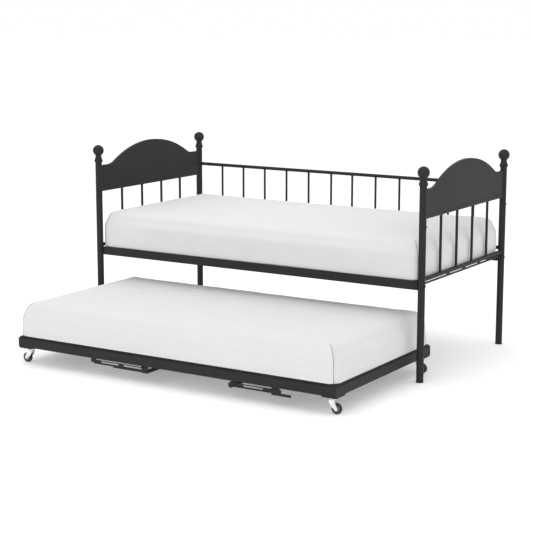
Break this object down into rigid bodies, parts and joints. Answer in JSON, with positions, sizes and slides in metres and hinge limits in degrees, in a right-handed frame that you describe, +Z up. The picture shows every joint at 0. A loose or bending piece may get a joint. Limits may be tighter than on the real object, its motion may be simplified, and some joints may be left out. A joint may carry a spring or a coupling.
{
  "type": "trundle bed",
  "caption": "Metal daybed with arched end panels and ball finials, and a mattress-topped trundle on swivel casters that rolls out from under it and lifts level on folding legs.",
  "frame": {"origin": "middle of the box that holds the daybed and the partly pulled-out trundle, at floor level", "axes": "+X to the right along the bed, +Y from the front to the back rail, +Z up"},
  "size_m": [2.03, 1.74, 1.06],
  "materials": {
    "black_coat": "satin charcoal-black powder coat",
    "bolt_black": "black oxide, satin",
    "foot_plastic": "moulded matte",
    "zinc": "bright zinc plate",
    "rubber": "matte",
    "cover": "smooth white fitted knit cover"
  },
  "bodies": {
    "daybed": {"lower_post_front_left": "black_coat", "upper_post_front_left": "black_coat", "finial_front_left": "black_coat", "foot_cap_front_left": "foot_plastic", "rail_bolt_front_left": "bolt_black", "seam_bolt_front_left": "bolt_black", "lower_post_front_right": "black_coat", "upper_post_front_right": "black_coat", "finial_front_right": "black_coat", "foot_cap_front_right": "foot_plastic", "rail_bolt_front_right": "bolt_black", "seam_bolt_front_right": "bolt_black", "lower_post_rear_left": "black_coat", "upper_post_rear_left": "black_coat", "finial_rear_left": "black_coat", "foot_cap_rear_left": "foot_plastic", "rail_bolt_rear_left": "bolt_black", "seam_bolt_rear_left": "bolt_black", "lower_post_rear_right": "black_coat", "upper_post_rear_right": "black_coat", "finial_rear_right": "black_coat", "foot_cap_rear_right": "foot_plastic", "rail_bolt_rear_right": "bolt_black", "seam_bolt_rear_right": "bolt_black", "end_panel_left": "black_coat", "end_grille_left": "black_coat", "end_rail_left": "black_coat", "end_panel_right": "black_coat", "end_grille_right": "black_coat", "end_rail_right": "black_coat", "side_rail_front": "black_coat", "side_rail_rear": "black_coat", "back_grille": "black_coat", "slat_deck": "black_coat", "upper_mattress": "cover"},
    "left_carriage": {"carrier_left": "black_coat", "caster_plate_front_left": "zinc", "caster_plate_rear_left": "zinc"},
    "left_lift_leg": {"leg_left": "black_coat"},
    "trundle_bed": {"trundle_frame": "black_coat", "trundle_slat_deck": "black_coat", "trundle_mattress": "cover", "guide_left": "black_coat", "guide_right": "black_coat"},
    "right_lift_leg": {"leg_right": "black_coat"},
    "right_carriage": {"carrier_right": "black_coat", "caster_plate_front_right": "zinc", "caster_plate_rear_right": "zinc"},
    "left_front_link": {"link_left_front": "black_coat"},
    "left_rear_link": {"link_left_rear": "black_coat"},
    "right_front_link": {"link_right_front": "black_coat"},
    "right_rear_link": {"link_right_rear": "black_coat"},
    "front_left_swivel": {"caster_fork_front_left": "zinc"},
    "front_left_wheel": {"caster_wheel_front_left": "rubber"},
    "front_right_swivel": {"caster_fork_front_right": "zinc"},
    "front_right_wheel": {"caster_wheel_front_right": "rubber"},
    "rear_left_swivel": {"caster_fork_rear_left": "zinc"},
    "rear_left_wheel": {"caster_wheel_rear_left": "rubber"},
    "rear_right_swivel": {"caster_fork_rear_right": "zinc"},
    "rear_right_wheel": {"caster_wheel_rear_right": "rubber"}
  },
  "joints": [
    {"name": "trundle_roll", "type": "slide", "parent": "daybed", "child": "left_carriage", "axis": [0, -1, 0], "range_m": [-0.7465, 0.25]},
    {"name": "pop_up", "type": "hinge", "parent": "left_carriage", "child": "left_lift_leg", "pos_m": [-0.85, -0.389, 0.103], "axis": [0, -1, 0], "range_deg": [0, 18]},
    {"name": "frame_level", "type": "hinge", "parent": "left_lift_leg", "child": "trundle_bed", "pos_m": [-0.49, -0.389, 0.103], "axis": [0, 1, 0], "range_deg": [0, 18]},
    {"name": "right_leg_fold", "type": "hinge", "parent": "trundle_bed", "child": "right_lift_leg", "pos_m": [0.49, -0.389, 0.103], "axis": [0, 1, 0], "range_deg": [0, 18]},
    {"name": "right_carriage_level", "type": "hinge", "parent": "right_lift_leg", "child": "right_carriage", "pos_m": [0.85, -0.389, 0.103], "axis": [0, -1, 0], "range_deg": [0, 18]},
    {"name": "left_front_link_turn", "type": "hinge", "parent": "left_carriage", "child": "left_front_link", "pos_m": [-0.85, -0.836, 0.092], "axis": [0, -1, 0], "range_deg": [0, 18]},
    {"name": "left_rear_link_turn", "type": "hinge", "parent": "left_carriage", "child": "left_rear_link", "pos_m": [-0.85, 0.058, 0.092], "axis": [0, -1, 0], "range_deg": [0, 18]},
    {"name": "right_front_link_turn", "type": "hinge", "parent": "trundle_bed", "child": "right_front_link", "pos_m": [0.49, -0.836, 0.092], "axis": [0, 1, 0], "range_deg": [0, 18]},
    {"name": "right_rear_link_turn", "type": "hinge", "parent": "trundle_bed", "child": "right_rear_link", "pos_m": [0.49, 0.058, 0.092], "axis": [0, 1, 0], "range_deg": [0, 18]},
    {"name": "front_left_caster_swivel", "type": "hinge", "parent": "left_carriage", "child": "front_left_swivel", "pos_m": [-0.891, -0.823, 0.065], "axis": [0, 0, 1], "continuous": true},
    {"name": "front_left_wheel_spin", "type": "hinge", "parent": "front_left_swivel", "child": "front_left_wheel", "pos_m": [-0.915, -0.823, 0.025], "axis": [0, 1, 0], "continuous": true},
    {"name": "front_right_caster_swivel", "type": "hinge", "parent": "right_carriage", "child": "front_right_swivel", "pos_m": [0.891, -0.823, 0.065], "axis": [0, 0, 1], "continuous": true},
    {"name": "front_right_wheel_spin", "type": "hinge", "parent": "front_right_swivel", "child": "front_right_wheel", "pos_m": [0.915, -0.823, 0.025], "axis": [0, 1, 0], "continuous": true},
    {"name": "rear_left_caster_swivel", "type": "hinge", "parent": "left_carriage", "child": "rear_left_swivel", "pos_m": [-0.891, 0.045, 0.065], "axis": [0, 0, 1], "continuous": true},
    {"name": "rear_left_wheel_spin", "type": "hinge", "parent": "rear_left_swivel", "child": "rear_left_wheel", "pos_m": [-0.867, 0.045, 0.025], "axis": [0, 1, 0], "continuous": true},
    {"name": "rear_right_caster_swivel", "type": "hinge", "parent": "right_carriage", "child": "rear_right_swivel", "pos_m": [0.891, 0.045, 0.065], "axis": [0, 0, 1], "continuous": true},
    {"name": "rear_right_wheel_spin", "type": "hinge", "parent": "rear_right_swivel", "child": "rear_right_wheel", "pos_m": [0.915, 0.045, 0.025], "axis": [0, 1, 0], "continuous": true}
  ],
  "couplings": [
    {"joint": "frame_level", "follows": "pop_up", "ratio": 1},
    {"joint": "right_leg_fold", "follows": "pop_up", "ratio": 1},
    {"joint": "right_carriage_level", "follows": "pop_up", "ratio": 1},
    {"joint": "left_front_link_turn", "follows": "pop_up", "ratio": 1},
    {"joint": "left_rear_link_turn", "follows": "pop_up", "ratio": 1},
    {"joint": "right_front_link_turn", "follows": "pop_up", "ratio": 1},
    {"joint": "right_rear_link_turn", "follows": "pop_up", "ratio": 1}
  ]
}
